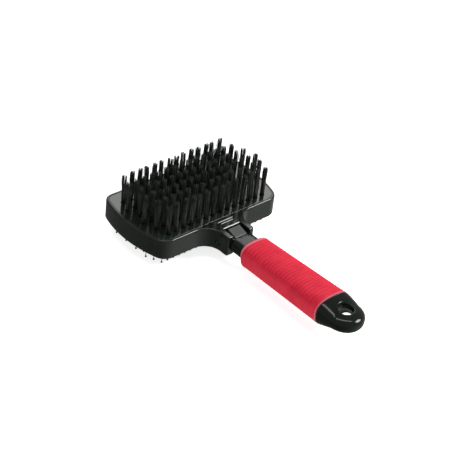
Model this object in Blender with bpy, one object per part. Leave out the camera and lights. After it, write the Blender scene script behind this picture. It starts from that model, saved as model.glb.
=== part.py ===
"""Double-sided pet brush: bristle tufts above, ball-ended pins below, and a head that slides off its handle.

Plan drawn in millimetres: X is the head's width, +Y runs from the handle to the head's back edge,
Y = 0 is the head's straight front edge and Z = 0 is the rim of the head's top.
place() turns that into metres, with the origin under the middle of the brush at the height of the pin tips.
"""
import bpy
import bmesh
from math import asin, atan2, cos, pi, sin, sqrt

MM = 0.001
GAP = 0.3                 # clearance between pieces that touch

# head housing
HEAD_HALF_WIDTH = 52.5    # at the widest point
HEAD_BOW = 4.74           # how far the side curves in, at BOW_SPAN from the widest point
BOW_SPAN = 27.5
BOW_CENTRE = 32.4
HEAD_BACK = 60.5
HEAD_THICK = 14.2
FRONT_RADIUS = 9.0
BACK_RADIUS = 7.0
EDGE_CHAMFER = 0.7
RIM_WIDTH = 1.7           # flat top of the rim
TRAY_DEPTH = 0.5          # the bristle plate lies this far below the rim
TRAY_RUN = 0.3            # width of the sloping wall of the tray
TOP_POCKET_Z = -4.0
BOTTOM_POCKET_Z = -8.9
BOTTOM_POCKET_INSET = 2.2

# neck and fork
NECK_HALF = 10.8
NECK_FILLET = 11.0
NECK_END = -17.2
SOCKET_HALF = 6.9
SOCKET_TOP = -2.4
SOCKET_BOTTOM = -11.6
SOCKET_END = 1.2
FORK_ROOT = -7.9          # the top skin of the neck ends here
LATCH_SLOT_HALF = 4.9
FLOOR_SLOT_END = -4.4

# catch pin
PIN_Y, PIN_Z, PIN_R = -8.5, -8.4, 1.25

# handle
TONGUE_HALF = 6.6
TONGUE_TOP = -2.8
TONGUE_BOTTOM = -11.3
TONGUE_TIP = 0.9
SHOULDER = -17.6
GRIP_FRONT = -30.2
GRIP_BACK = -98.0
GRIP_WALL = 2.6
GRIP_POWER = 2.8
HOLE_Y = -109.0
HOLE_R = 4.8
HANDLE_END = -121.0
HANDLE_SEGMENTS = 28

# latch
LATCH_HALF = 4.6
LATCH_ROOT_Y, LATCH_ROOT_Z = -22.3, -10.5

# tufts
TUFT_PITCH = 5.94
TUFT_ROW_PITCH = 8.26
TUFT_FIRST_Y = 7.2
TUFT_TOP_Z = 21.6
TUFT_R = 1.5

STRIP_WIDTH = 3.0         # the tufts of a row stand on a strip let into the plate
STRIP_THICK = 1.0

# wire pins
WIRE_PITCH = 4.6
WIRE_ROW_PITCH = 5.0
WIRE_STRIP_WIDTH = 2.0
WIRE_STRIP_END = 0.8      # a strip runs this far past its last wire
WIRE_FIRST_Y = 7.8
WIRE_R = 0.35
BALL_R = 0.65
BALL_BOTTOM = -21.8
CUSHION_BOTTOM = -13.4

SHIFT_Y = -(HEAD_BACK + HANDLE_END) / 2
SHIFT_Z = -BALL_BOTTOM

# tuft rows, front to back: first and last place on the row, in pitches from the centre line
TUFT_ROWS = [(-6.5, 6.5), (-7.0, 7.0), (-7.5, 7.5), (-7.0, 7.0), (-7.5, 6.5), (-7.0, 6.0)]
# wire pins in each row, front to back
WIRE_ROWS = [19, 20, 21, 20, 21, 20, 21, 20, 21, 20]


def clear_scene():
    for ob in list(bpy.data.objects):
        bpy.data.objects.remove(ob, do_unlink=True)


def place(x, y, z):
    return (x * MM, (y + SHIFT_Y) * MM, (z + SHIFT_Z) * MM)


def material(name, colour, roughness, metallic=0.0):
    mat = bpy.data.materials.new(name)
    mat.use_nodes = True
    shader = mat.node_tree.nodes["Principled BSDF"]
    shader.inputs["Base Color"].default_value = (*colour, 1.0)
    shader.inputs["Roughness"].default_value = roughness
    shader.inputs["Metallic"].default_value = metallic
    mat.diffuse_color = (*colour, 1.0)
    return mat


def finish(bm, name, mat, smooth_angle=None, origin=None):
    """Turn a bmesh drawn in plan millimetres into a placed object."""
    for v in bm.verts:
        v.co = place(*v.co)
    bmesh.ops.recalc_face_normals(bm, faces=bm.faces)
    mesh = bpy.data.meshes.new(name)
    bm.to_mesh(mesh)
    bm.free()
    ob = bpy.data.objects.new(name, mesh)
    bpy.context.scene.collection.objects.link(ob)
    mesh.materials.append(mat)
    if smooth_angle is not None:
        mesh.shade_smooth()
        mesh.set_sharp_from_angle(angle=smooth_angle)
    if origin is not None:
        centre = place(*origin)
        for v in mesh.vertices:
            v.co = [v.co[k] - centre[k] for k in range(3)]
        ob.location = centre
    return ob


def loft(bm, loops, capped=True):
    """Skin a list of equal-length loops of (x, y, z) points, and close both ends."""
    rings = [[bm.verts.new(p) for p in loop] for loop in loops]
    n = len(rings[0])
    for a, b in zip(rings, rings[1:]):
        for i in range(n):
            j = (i + 1) % n
            bm.faces.new((a[i], a[j], b[j], b[i]))
    if capped:
        bm.faces.new(rings[0][::-1])
        bm.faces.new(rings[-1])
    return rings


def box(bm, x0, x1, y0, y1, z0, z1):
    loft(bm, [[(x0, y0, z), (x1, y0, z), (x1, y1, z), (x0, y1, z)] for z in (z0, z1)])


def arc(cx, cy, r, a0, a1, steps):
    return [(cx + r * cos(a0 + (a1 - a0) * i / steps), cy + r * sin(a0 + (a1 - a0) * i / steps))
            for i in range(steps + 1)]


def side_x(y, inset=0.0):
    return HEAD_HALF_WIDTH - inset - HEAD_BOW * ((y - BOW_CENTRE) / BOW_SPAN) ** 2


def side_angle(y):
    return atan2(2 * HEAD_BOW * (y - BOW_CENTRE) / BOW_SPAN ** 2, 1.0)


def right_side(inset):
    """Right-hand half of the head's plan, from the front edge round to the back edge."""
    rf, rb = FRONT_RADIUS - inset, BACK_RADIUS - inset
    yf, yb = inset + rf, HEAD_BACK - inset - rb
    for _ in range(20):
        af = side_angle(yf)
        yf = inset + rf * (1 + sin(af))
        ab = side_angle(yb)
        yb = HEAD_BACK - inset - rb * (1 - sin(ab))
    front_x = side_x(yf, inset) - rf * cos(af)
    back_x = side_x(yb, inset) - rb * cos(ab)
    points = arc(front_x, inset + rf, rf, -pi / 2, af, 6)
    points += [(side_x(yf + (yb - yf) * i / 10, inset), yf + (yb - yf) * i / 10) for i in range(1, 10)]
    points += arc(back_x, HEAD_BACK - inset - rb, rb, ab, pi / 2, 5)
    return points


def head_plan(inset=0.0):
    """Closed plan of the head without its neck, anticlockwise."""
    right = right_side(inset)
    return right + [(-x, y) for x, y in reversed(right)]


def anchor_plan():
    """Closed plan of the head with its filleted neck, anticlockwise."""
    fillet = arc(NECK_HALF + NECK_FILLET, -NECK_FILLET, NECK_FILLET, pi, pi / 2, 8)
    right = [(NECK_HALF + 0.2, NECK_END)] + fillet + right_side(0.0)
    return right + [(-x, y) for x, y in reversed(right)]


def inset_loop(loop, d):
    """Move each side of a closed anticlockwise loop inward by d."""
    out = []
    n = len(loop)
    for i in range(n):
        (x0, y0), (x1, y1), (x2, y2) = loop[i - 1], loop[i], loop[(i + 1) % n]
        ax, ay, bx, by = x1 - x0, y1 - y0, x2 - x1, y2 - y1
        la, lb = sqrt(ax * ax + ay * ay), sqrt(bx * bx + by * by)
        nx, ny = -ay / la - by / lb, ax / la + bx / lb
        scale = 2 * d / (nx * nx + ny * ny)
        out.append((x1 + nx * scale, y1 + ny * scale))
    return out


def level(loop, z):
    return [(x, y, z) for x, y in loop]


def cut(target, cutters, operation="DIFFERENCE"):
    for cutter in cutters:
        cutter.hide_render = True
        cutter.display_type = "WIRE"
        mod = target.modifiers.new("cut_" + cutter.name, "BOOLEAN")
        mod.operation = operation
        mod.solver = "EXACT"
        mod.object = cutter


def cutter_from(name, draw, mat):
    bm = bmesh.new()
    draw(bm)
    return finish(bm, name, mat)


def rod_x(bm, y, z, r, half, sides):
    loops = []
    for x in (-half, half):
        loops.append([(x, y + r * cos(2 * pi * i / sides), z + r * sin(2 * pi * i / sides))
                      for i in range(sides)])
    loft(bm, loops)


def make_head_frame(mat):
    plan = anchor_plan()
    small = inset_loop(plan, EDGE_CHAMFER)
    bm = bmesh.new()
    loft(bm, [level(small, -HEAD_THICK), level(plan, -HEAD_THICK + EDGE_CHAMFER),
              level(plan, -EDGE_CHAMFER), level(small, 0.0)])
    frame = finish(bm, "head_frame", mat, 0.5)

    def tray(bm):
        low = RIM_WIDTH + TRAY_RUN
        loft(bm, [level(head_plan(low), TOP_POCKET_Z), level(head_plan(low), -TRAY_DEPTH),
                  level(head_plan(RIM_WIDTH), 0.0), level(head_plan(RIM_WIDTH), 1.0)])

    def underside(bm):
        loft(bm, [level(head_plan(BOTTOM_POCKET_INSET), z) for z in (-HEAD_THICK - 1, BOTTOM_POCKET_Z)])

    def socket(bm):
        box(bm, -SOCKET_HALF, SOCKET_HALF, NECK_END - 1, SOCKET_END, SOCKET_BOTTOM, SOCKET_TOP)

    def fork(bm):
        box(bm, -SOCKET_HALF, SOCKET_HALF, NECK_END - 2, FORK_ROOT, SOCKET_TOP - 1, 2.0)

    def floor_slot(bm):
        box(bm, -5.4, 5.4, NECK_END - 3, FLOOR_SLOT_END, -HEAD_THICK - 2, SOCKET_BOTTOM + 1)

    def pin_hole(bm):
        rod_x(bm, PIN_Y, PIN_Z, PIN_R + GAP, NECK_HALF + 4, 12)

    cut(frame, [cutter_from(f.__name__ + "_cutter", f, mat)
                for f in (tray, underside, socket, fork, floor_slot, pin_hole)])

    def rib(bm):
        box(bm, -6.2, 6.2, -1.7, -0.7, -1.0, 0.5)

    cut(frame, [cutter_from("neck_rib_union", rib, mat)], "UNION")
    return frame


def grooves(rows, half_width, margin, z0, z1):
    """Drawing function for one groove along each row."""
    def draw(bm):
        for row in rows:
            box(bm, row[0][0] - margin, row[-1][0] + margin, row[0][1] - half_width, row[0][1] + half_width,
                z0, z1)
    return draw


def make_plates(plate_mat, backing_mat, cushion_mat):
    inset = RIM_WIDTH + TRAY_RUN + GAP
    bm = bmesh.new()
    loft(bm, [level(head_plan(inset), z) for z in (TOP_POCKET_Z + GAP, -TRAY_DEPTH)])
    plate = finish(bm, "bristle_plate", plate_mat, 0.5)
    draw = grooves(strip_rows(tuft_places()), STRIP_WIDTH / 2 + GAP, 2.0 + GAP,
                   -TRAY_DEPTH - STRIP_THICK - GAP, 0.0)
    cut(plate, [cutter_from("plate_groove_cutter", draw, plate_mat)])
    inset = BOTTOM_POCKET_INSET + GAP
    bm = bmesh.new()
    loft(bm, [level(head_plan(inset), z) for z in (-10.6, BOTTOM_POCKET_Z - GAP)])
    finish(bm, "pin_backing_plate", backing_mat, 0.5)
    bm = bmesh.new()
    loft(bm, [level(head_plan(inset + 1.2), CUSHION_BOTTOM), level(head_plan(inset), CUSHION_BOTTOM + 0.7),
              level(head_plan(inset), -10.9)])
    cushion = finish(bm, "pin_cushion", cushion_mat, 0.5)
    draw = grooves(strip_rows(wire_places()), WIRE_STRIP_WIDTH / 2 + GAP, WIRE_STRIP_END + GAP,
                   -20.0, CUSHION_BOTTOM + STRIP_THICK + GAP)
    cut(cushion, [cutter_from("cushion_groove_cutter", draw, cushion_mat)])


def tuft_places():
    rows = []
    for k, (first, last) in enumerate(TUFT_ROWS):
        y = TUFT_FIRST_Y + k * TUFT_ROW_PITCH
        count = int(round(last - first)) + 1
        rows.append([((first + i) * TUFT_PITCH, y) for i in range(count)])
    return rows


def wire_places():
    rows = []
    for k, count in enumerate(WIRE_ROWS):
        y = WIRE_FIRST_Y + k * WIRE_ROW_PITCH
        rows.append([((i - (count - 1) / 2) * WIRE_PITCH, y) for i in range(count)])
    return rows


def strip_rows(rows):
    """Rows without the four corner places, which stand free of the strips."""
    return [row[1:-1] if k in (0, len(rows) - 1) else row for k, row in enumerate(rows)]


def corners(rows):
    return [rows[0][0], rows[0][-1], rows[-1][0], rows[-1][-1]]


def add_tuft(bm, x, y, turn, foot):
    loops = []
    for r, z in ((TUFT_R * 0.86, foot), (TUFT_R, TUFT_TOP_Z)):
        loops.append([(x + r * cos(turn + i * pi / 3), y + r * sin(turn + i * pi / 3), z) for i in range(6)])
    loft(bm, loops)


def make_tufts(mat):
    rows = tuft_places()
    for n, (x, y) in enumerate(corners(rows)):
        bm = bmesh.new()
        add_tuft(bm, x, y, 0.0, -TRAY_DEPTH + GAP)
        finish(bm, "bristle_corner_tuft_%d" % (n + 1), mat, 0.6)
    for k, row in enumerate(strip_rows(rows)):
        bm = bmesh.new()
        box(bm, row[0][0] - 2.0, row[-1][0] + 2.0, row[0][1] - STRIP_WIDTH / 2, row[0][1] + STRIP_WIDTH / 2,
            -TRAY_DEPTH - STRIP_THICK, -TRAY_DEPTH)
        strip = finish(bm, "bristle_row_%d" % (k + 1), mat, 0.6)

        def tufts(bm):
            for i, (x, y) in enumerate(row):
                add_tuft(bm, x, y, 0.37 * i + 0.2 * k, -TRAY_DEPTH - 0.5)

        cut(strip, [cutter_from("tufts_%d_union" % (k + 1), tufts, mat)], "UNION")


def add_wire_pin(bm, x, y, foot):
    rings = []
    for r, z in ((WIRE_R, foot), (WIRE_R, BALL_BOTTOM + 1.2),
                 (BALL_R, BALL_BOTTOM + BALL_R), (0.42, BALL_BOTTOM + 0.14)):
        rings.append([bm.verts.new((x + r * cos(i * 2 * pi / 5), y + r * sin(i * 2 * pi / 5), z))
                      for i in range(5)])
    for a, b in zip(rings, rings[1:]):
        for i in range(5):
            j = (i + 1) % 5
            bm.faces.new((a[i], b[i], b[j], a[j]))
    bm.faces.new(rings[0])
    tip = bm.verts.new((x, y, BALL_BOTTOM))
    for i in range(5):
        bm.faces.new((rings[-1][i], tip, rings[-1][(i + 1) % 5]))


def make_wire_pins(mat):
    rows = wire_places()
    for n, (x, y) in enumerate(corners(rows)):
        bm = bmesh.new()
        add_wire_pin(bm, x, y, CUSHION_BOTTOM - GAP)
        finish(bm, "wire_corner_pin_%d" % (n + 1), mat, 0.9)
    for k, row in enumerate(strip_rows(rows)):
        bm = bmesh.new()
        half = WIRE_STRIP_WIDTH / 2
        box(bm, row[0][0] - WIRE_STRIP_END, row[-1][0] + WIRE_STRIP_END, row[0][1] - half, row[0][1] + half,
            CUSHION_BOTTOM, CUSHION_BOTTOM + STRIP_THICK)
        strip = finish(bm, "wire_pin_row_%d" % (k + 1), mat, 0.9)

        def pins(bm):
            for x, y in row:
                add_wire_pin(bm, x, y, CUSHION_BOTTOM + 0.5)

        cut(strip, [cutter_from("wire_pins_%d_union" % (k + 1), pins, mat)], "UNION")


def make_catch_pin(mat):
    bm = bmesh.new()
    rod_x(bm, PIN_Y, PIN_Z, PIN_R, NECK_HALF, 12)
    finish(bm, "catch_pin", mat, 0.6)


def latch_profile():
    return [(-23.1, -9.7), (-23.1, -11.4), (-4.9, -11.4), (-4.9, -9.9), (-6.0, -8.0), (-6.8, -8.0),
            (-6.8, -10.2), (-10.6, -10.2), (-10.6, -3.4), (-9.6, -2.6), (-9.6, -0.3), (-10.0, 0.0),
            (-16.8, -2.0), (-17.2, -2.5), (-17.2, -9.9)]


def make_latch(mat):
    bm = bmesh.new()
    loft(bm, [[(x, y, z) for y, z in latch_profile()] for x in (-LATCH_HALF, LATCH_HALF)])
    finish(bm, "release_latch", mat, origin=(0.0, LATCH_ROOT_Y, LATCH_ROOT_Z))


def section(y, half_w, half_h, zc, power, slant=0.0):
    """Superellipse across the handle at y; slant leans its plane."""
    points = []
    for i in range(HANDLE_SEGMENTS):
        t = 2 * pi * (i + 0.5) / HANDLE_SEGMENTS
        c, s = cos(t), sin(t)
        x = half_w * abs(c) ** (2 / power) * (1 if c > 0 else -1)
        dz = half_h * abs(s) ** (2 / power) * (1 if s > 0 else -1)
        points.append((x, y + slant * dz, zc + dz))
    return points


def grip_size(y):
    """Half width, half height and middle height of the grip's outside at y."""
    t = (GRIP_FRONT - y) / (GRIP_FRONT - GRIP_BACK)
    return 11.9 + 1.4 * t, 8.4 + 0.7 * t, -6.6 + 2.25 * t


def grip_stations():
    return [GRIP_FRONT + (GRIP_BACK - GRIP_FRONT) * i / 6 for i in range(7)]


def make_handle_core(mat):
    loops = [section(SHOULDER, 8.6, 4.6, -6.7, 4.0), section(-27.0, 8.5, 4.6, -6.7, 4.0),
             section(-29.0, 9.0, 5.4, -6.65, 3.2)]
    for y in grip_stations():
        w, h, zc = grip_size(y)
        loops.append(section(y, w - GRIP_WALL, h - GRIP_WALL, zc, GRIP_POWER))
    w, h, zc = grip_size(GRIP_BACK)
    loops += [section(GRIP_BACK - GAP, w - GRIP_WALL, h - GRIP_WALL, zc, GRIP_POWER),
              section(GRIP_BACK - GAP, w - 0.6, h - 0.6, zc, GRIP_POWER),
              section(GRIP_BACK - 1.0, w, h - 0.1, zc, GRIP_POWER),
              section(-103.5, 13.1, 7.7, -4.1, 2.5), section(-109.0, 12.2, 6.1, -3.8, 2.5)]
    for y, h in ((-112.0, 5.8), (-115.0, 5.4), (-117.6, 4.8), (-119.4, 3.9), (-120.6, 2.6), (HANDLE_END, 1.0)):
        w = max(1.4, sqrt(12.1 ** 2 - (y - HOLE_Y) ** 2)) if y > HOLE_Y - 12.05 else 1.4
        loops.append(section(y, w, h, -3.7, 2.4))
    bm = bmesh.new()
    loft(bm, loops)
    core = finish(bm, "handle_core", mat, 0.6)

    def tongue(bm):
        box(bm, -TONGUE_HALF, TONGUE_HALF, SHOULDER - 3.0, TONGUE_TIP, TONGUE_BOTTOM, TONGUE_TOP)

    def pad_bay(bm):
        box(bm, -LATCH_SLOT_HALF, LATCH_SLOT_HALF, SHOULDER + 0.01, -7.4, -20.0, 5.0)

    def tip_bay(bm):
        box(bm, -LATCH_SLOT_HALF, LATCH_SLOT_HALF, -7.6, TONGUE_TIP + 2, -21.0, -5.4)

    def arm_slot(bm):
        box(bm, -LATCH_SLOT_HALF, LATCH_SLOT_HALF, -24.2, SHOULDER + 1, -22.0, -9.3)

    def pin_slot(bm):
        box(bm, -9, 9, PIN_Y - PIN_R - 0.35, TONGUE_TIP + 3, PIN_Z - PIN_R - 0.4, PIN_Z + PIN_R + 0.4)

    def hang_hole(bm):
        loft(bm, [[(HOLE_R * cos(i * pi / 12), HOLE_Y + HOLE_R * sin(i * pi / 12), z) for i in range(24)]
                  for z in (-20.0, 12.0)])

    def hole_scoop(bm):
        """Hollow under the hole, which leaves a thin web there and opens towards the grip."""
        loops = []
        for half_w, y0, y1, power, z in ((5.6, -114.6, -103.4, 2.0, -1.8), (7.6, -115.2, -100.6, 2.4, -4.0),
                                         (9.2, -116.2, -99.6, 3.0, -7.2), (9.4, -116.6, -99.6, 3.2, -10.0),
                                         (9.4, -116.6, -99.6, 3.2, -20.0)):
            flat = section(0.0, half_w, (y1 - y0) / 2, (y0 + y1) / 2, power)
            loops.append([(x, yy, z) for x, _, yy in flat])
        loft(bm, loops)

    cut(core, [cutter_from("tongue_union", tongue, mat)], "UNION")
    cut(core, [cutter_from(f.__name__ + "_cutter", f, mat)
               for f in (pad_bay, tip_bay, arm_slot, pin_slot, hang_hole, hole_scoop)])
    return core


def make_grip(mat):
    outer, inner = [], []
    w, h, zc = grip_size(GRIP_FRONT)
    outer.append(section(GRIP_FRONT, w - 1.0, h - 1.0, zc, GRIP_POWER, 0.2))
    outer.append(section(GRIP_FRONT - 0.9, w, h, zc, GRIP_POWER, 0.2))
    for y in grip_stations()[1:-1]:
        outer.append(section(y, *grip_size(y), GRIP_POWER))
    w, h, zc = grip_size(GRIP_BACK)
    outer.append(section(GRIP_BACK + 0.6, w, h, zc, GRIP_POWER))
    outer.append(section(GRIP_BACK, w - 0.6, h - 0.6, zc, GRIP_POWER))
    wall = GRIP_WALL - GAP
    for i, y in enumerate(grip_stations()):
        w, h, zc = grip_size(y)
        inner.append(section(y, w - wall, h - wall, zc, GRIP_POWER, 0.2 if i == 0 else 0.0))
    bm = bmesh.new()
    loops = outer + inner[::-1]
    rings = loft(bm, loops, capped=False)
    n = len(rings[0])
    for i in range(n):
        j = (i + 1) % n
        bm.faces.new((rings[-1][i], rings[-1][j], rings[0][j], rings[0][i]))
    finish(bm, "grip_sleeve", mat, 0.6)


def build():
    clear_scene()
    make_head_frame(material("housing_black", (0.022, 0.023, 0.024), 0.38))
    make_plates(material("plate_black", (0.018, 0.019, 0.019), 0.5),
                material("backing_black", (0.03, 0.03, 0.03), 0.55),
                material("cushion_rubber", (0.035, 0.035, 0.036), 0.75))
    make_tufts(material("bristle_black", (0.016, 0.016, 0.016), 0.45))
    make_wire_pins(material("pin_steel", (0.62, 0.61, 0.59), 0.3, 1.0))
    make_catch_pin(material("catch_pin_dark", (0.06, 0.06, 0.062), 0.35, 0.8))
    make_latch(material("latch_grey", (0.15, 0.16, 0.16), 0.4))
    make_handle_core(material("handle_black", (0.014, 0.014, 0.015), 0.2))
    make_grip(material("grip_red", (0.62, 0.035, 0.07), 0.6))


build()
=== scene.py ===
import random
from math import atan2, cos, pi, sin, sqrt

import bmesh
import bpy
from mathutils import Matrix, Vector


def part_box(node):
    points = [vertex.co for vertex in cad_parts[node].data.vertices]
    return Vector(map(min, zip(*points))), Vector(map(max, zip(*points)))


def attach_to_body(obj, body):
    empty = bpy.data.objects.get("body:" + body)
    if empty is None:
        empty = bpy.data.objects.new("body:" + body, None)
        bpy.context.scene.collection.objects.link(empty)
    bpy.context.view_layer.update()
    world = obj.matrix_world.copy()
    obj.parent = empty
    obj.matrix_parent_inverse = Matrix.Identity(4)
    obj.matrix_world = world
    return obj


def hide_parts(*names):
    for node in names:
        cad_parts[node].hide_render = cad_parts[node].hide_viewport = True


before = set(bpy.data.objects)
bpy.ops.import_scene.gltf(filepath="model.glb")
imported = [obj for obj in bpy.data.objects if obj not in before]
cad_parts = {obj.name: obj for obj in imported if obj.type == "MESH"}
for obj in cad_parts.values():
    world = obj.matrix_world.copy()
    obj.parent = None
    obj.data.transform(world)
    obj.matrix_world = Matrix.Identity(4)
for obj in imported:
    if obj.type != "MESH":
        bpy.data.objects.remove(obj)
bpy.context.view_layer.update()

# Plan millimetres, as in the part: X across the head, +Y towards its back edge,
# Y = 0 at the head's straight front edge, Z = 0 at the rim of its top.
MM = 0.001
GAP = 0.3

# head housing
HEAD_HALF_WIDTH = 52.48
HEAD_BOW = 4.74
BOW_SPAN = 27.5
BOW_CENTRE = 32.4
HEAD_BACK = 60.5
HEAD_THICK = 14.2
FRONT_RADIUS = 9.0
BACK_RADIUS = 7.0
EDGE_ROUND = 1.15
RIM_WIDTH = 1.7
TRAY_DEPTH = 0.16
TRAY_RUN = 0.1
TOP_POCKET_Z = -4.0
BOTTOM_POCKET_Z = -8.9
BOTTOM_POCKET_INSET = 2.2
RIB_TOP = 0.5

# neck and fork
NECK_HALF = 10.8
NECK_FILLET = 11.0
NECK_END = -17.2
EAR_ROUND = 1.6
SOCKET_HALF = 6.9
SOCKET_TOP = -2.4
SOCKET_BOTTOM = -11.6
SOCKET_END = 1.2
FORK_ROOT = -7.9
LATCH_SLOT_HALF = 4.9
FLOOR_SLOT_END = -4.4
PIN_Y, PIN_Z, PIN_R = -8.5, -8.4, 1.25
LATCH_HALF = 4.6

# handle
TONGUE_HALF = 6.6
TONGUE_TOP = -2.8
TONGUE_BOTTOM = -11.3
TONGUE_TIP = 0.9
SHOULDER = -17.6
SHOULDER_SIZE = (8.6, 4.6, -6.7)      # half width, half height, middle height
SHOULDER_POWER = 4.0
GRIP_FRONT = -30.2
GRIP_BACK = -98.0
GRIP_WALL = 2.6
GRIP_POWER = 2.8
GRIP_LIP = 1.5
GRIP_SLANT = 0.2
RIB_PITCH = 2.42
RIB_DEPTH = 0.5
HOLE_Y = -109.0
HOLE_R = 4.8
HANDLE_END = -121.0
CAP_FRONT = -99.0
CAP_RADIUS = 12.1
CAP_POWER = 2.45
CAP_END_POWER = 2.4
CAP_END_ROUND = 2.2

# bristle tufts
TUFT_PITCH = 5.94
TUFT_ROW_PITCH = 8.26
TUFT_FIRST_Y = 7.2
TUFT_ROWS = [(-6.5, 6.5), (-7.0, 7.0), (-7.5, 7.5), (-7.0, 7.0), (-7.5, 6.5), (-7.0, 6.0)]
TUFT_FOOT_Z = -1.1
TUFT_FOOT_R = 1.28
TUFT_TIP_R = 1.58
TUFT_LEAN = 0.42
PARTED_SHARE = 0.45       # tufts that have come apart into two halves
PARTED_BY = 0.3
TIP_Z = 20.7
TIP_LIMIT = 21.5
TIP_RAGGED = 0.33
SHORT_SHARE = 0.08        # bristles that end early
STRAY_SHARE = 0.07        # bristles that stick out sideways
FILAMENTS = 56
FILAMENT_R = 0.15
FILAMENT_BOW = 0.22
GOLDEN_ANGLE = 2.39996

# wire pins
WIRE_PITCH = 4.6
WIRE_ROW_PITCH = 5.0
WIRE_FIRST_Y = 7.8
WIRE_ROWS = [19, 20, 21, 20, 21, 20, 21, 20, 21, 20]
WIRE_R = 0.28
BALL_R = 0.65
BALL_BOTTOM = -21.8
CUSHION_TOP = -10.9
CUSHION_BOTTOM = -13.4

# setting
WORLD_SKY = 0.40
WORLD_LOW_LEFT = 0.14
WORLD_LOW_RIGHT = 0.58
FLOOR_GLOW = 0.78
CAMERA_AZIMUTH, CAMERA_ELEVATION, CAMERA_ROLL = -45.09, 35.966, 7.0245
CAMERA_DISTANCE = 0.87033
CAMERA_ACROSS, CAMERA_ALONG = -0.0071347, 0.0099692
CAMERA_LENS = 106.892

rng = random.Random(41)
head_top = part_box("head_frame")[1]
SHIFT_Y = head_top.y / MM - HEAD_BACK
SHIFT_Z = head_top.z / MM - RIB_TOP


def place(x, y, z):
    """From plan millimetres to the world's metres."""
    return Vector((x * MM, (y + SHIFT_Y) * MM, (z + SHIFT_Z) * MM))


# ---------------------------------------------------------------- materials

class Nodes:
    """Short hand for building a material's node tree."""

    def __init__(self, name):
        self.mat = bpy.data.materials.new(name)
        self.mat.use_nodes = True
        self.tree = self.mat.node_tree
        self.shader = self.tree.nodes["Principled BSDF"]
        self.coords = self.tree.nodes.new("ShaderNodeTexCoord").outputs["Object"]

    def add(self, kind, **values):
        node = self.tree.nodes.new(kind)
        for key, value in values.items():
            if hasattr(node, key):
                setattr(node, key, value)
            else:
                node.inputs[key.replace("_", " ")].default_value = value
        return node

    def link(self, a, b):
        self.tree.links.new(a, b)

    def stretched(self, scale):
        """Object coordinates scaled unevenly, which stretches a noise into streaks."""
        mapping = self.add("ShaderNodeMapping")
        mapping.inputs["Scale"].default_value = scale
        self.link(self.coords, mapping.inputs["Vector"])
        return mapping.outputs["Vector"]

    def noise(self, vector, scale, detail=2.0, roughness=0.5):
        node = self.add("ShaderNodeTexNoise", Scale=scale, Detail=detail, Roughness=roughness)
        self.link(vector, node.inputs["Vector"])
        return node.outputs["Fac"]

    def ramp(self, fac, stops):
        node = self.add("ShaderNodeValToRGB")
        ramp = node.color_ramp
        while len(ramp.elements) < len(stops):
            ramp.elements.new(0.5)
        for element, (at, colour) in zip(ramp.elements, stops):
            element.position = at
            element.color = (*colour, 1.0)
        self.link(fac, node.inputs["Fac"])
        return node.outputs["Color"]

    def axis(self, name):
        """One of the object coordinates, in metres."""
        node = self.add("ShaderNodeSeparateXYZ")
        self.link(self.coords, node.inputs["Vector"])
        return node.outputs[name]

    def remapped(self, value, low, high, to_low, to_high, curve="SMOOTHSTEP"):
        node = self.add("ShaderNodeMapRange", interpolation_type=curve)
        for key, number in (("From Min", low), ("From Max", high), ("To Min", to_low), ("To Max", to_high)):
            node.inputs[key].default_value = number
        self.link(value, node.inputs["Value"])
        return node.outputs["Result"]

    def tinted(self, fac, under, colour):
        """A colour mixed over another by a factor."""
        node = self.add("ShaderNodeMix", data_type="RGBA")
        factor, first, second, result = node.inputs[0], node.inputs[6], node.inputs[7], node.outputs[2]
        second.default_value = (*colour, 1.0)
        self.link(fac, factor)
        self.link(under, first)
        return result

    def spread(self, fac, low, high, into):
        """Drive one of the shader's inputs between two values by a noise."""
        self.link(self.remapped(fac, 0.3, 0.7, low, high, "LINEAR"), self.shader.inputs[into])

    def bump(self, height, distance, strength, below=None):
        """Bend the surface by a height, on top of another bend if one is given."""
        node = self.add("ShaderNodeBump", Strength=strength, Distance=distance)
        self.link(height, node.inputs["Height"])
        if below is not None:
            self.link(below, node.inputs["Normal"])
        self.link(node.outputs["Normal"], self.shader.inputs["Normal"])
        return node.outputs["Normal"]


def moulded(name, dark, light, rough, specular=0.5, grain=900.0, grain_depth=0.00004):
    """Moulded plastic: faint cloudy colour, uneven gloss, fine spark-eroded grain and slow waviness."""
    n = Nodes(name)
    cloud = n.noise(n.coords, 70.0, 3.0)
    n.link(n.ramp(cloud, [(0.3, dark), (0.7, light)]), n.shader.inputs["Base Color"])
    n.spread(n.noise(n.coords, 160.0, 4.0, 0.6), rough[0], rough[1], "Roughness")
    wave = n.bump(n.noise(n.coords, 45.0, 1.0), 0.0004, 0.10)
    n.bump(n.noise(n.coords, grain, 2.0), grain_depth, 0.25, wave)
    n.shader.inputs["Specular IOR Level"].default_value = specular
    return n.mat


def rubber(name, dark, light, rough, specular=0.35, painted_highlight_lips=(), painted_highlight_colour=(1.0, 1.0, 1.0)):
    """Soft rubber: matt, slightly mottled, with a fine dry grain, and a pale painted highlight along the
    given lips.
    """
    n = Nodes(name)
    cloud = n.noise(n.coords, 120.0, 4.0, 0.6)
    colour = n.ramp(cloud, [(0.28, dark), (0.72, light)])
    # Painted highlight: a pale band of colour along each given lip stands in for the light caught by the
    # sleeve's edges.
    for y in painted_highlight_lips:
        away = n.add("ShaderNodeMath", operation="SUBTRACT")
        away.inputs[1].default_value = (y + SHIFT_Y) * MM
        n.link(n.axis("Y"), away.inputs[0])
        distance = n.add("ShaderNodeMath", operation="ABSOLUTE")
        n.link(away.outputs[0], distance.inputs[0])
        colour = n.tinted(n.remapped(distance.outputs[0], 0.0003, 0.0011, 0.75, 0.0), colour, painted_highlight_colour)
    n.link(colour, n.shader.inputs["Base Color"])
    n.spread(n.noise(n.coords, 260.0, 3.0), rough[0], rough[1], "Roughness")
    n.bump(n.noise(n.coords, 1400.0, 3.0, 0.65), 0.00006, 0.6)
    n.shader.inputs["Specular IOR Level"].default_value = specular
    return n.mat


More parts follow.
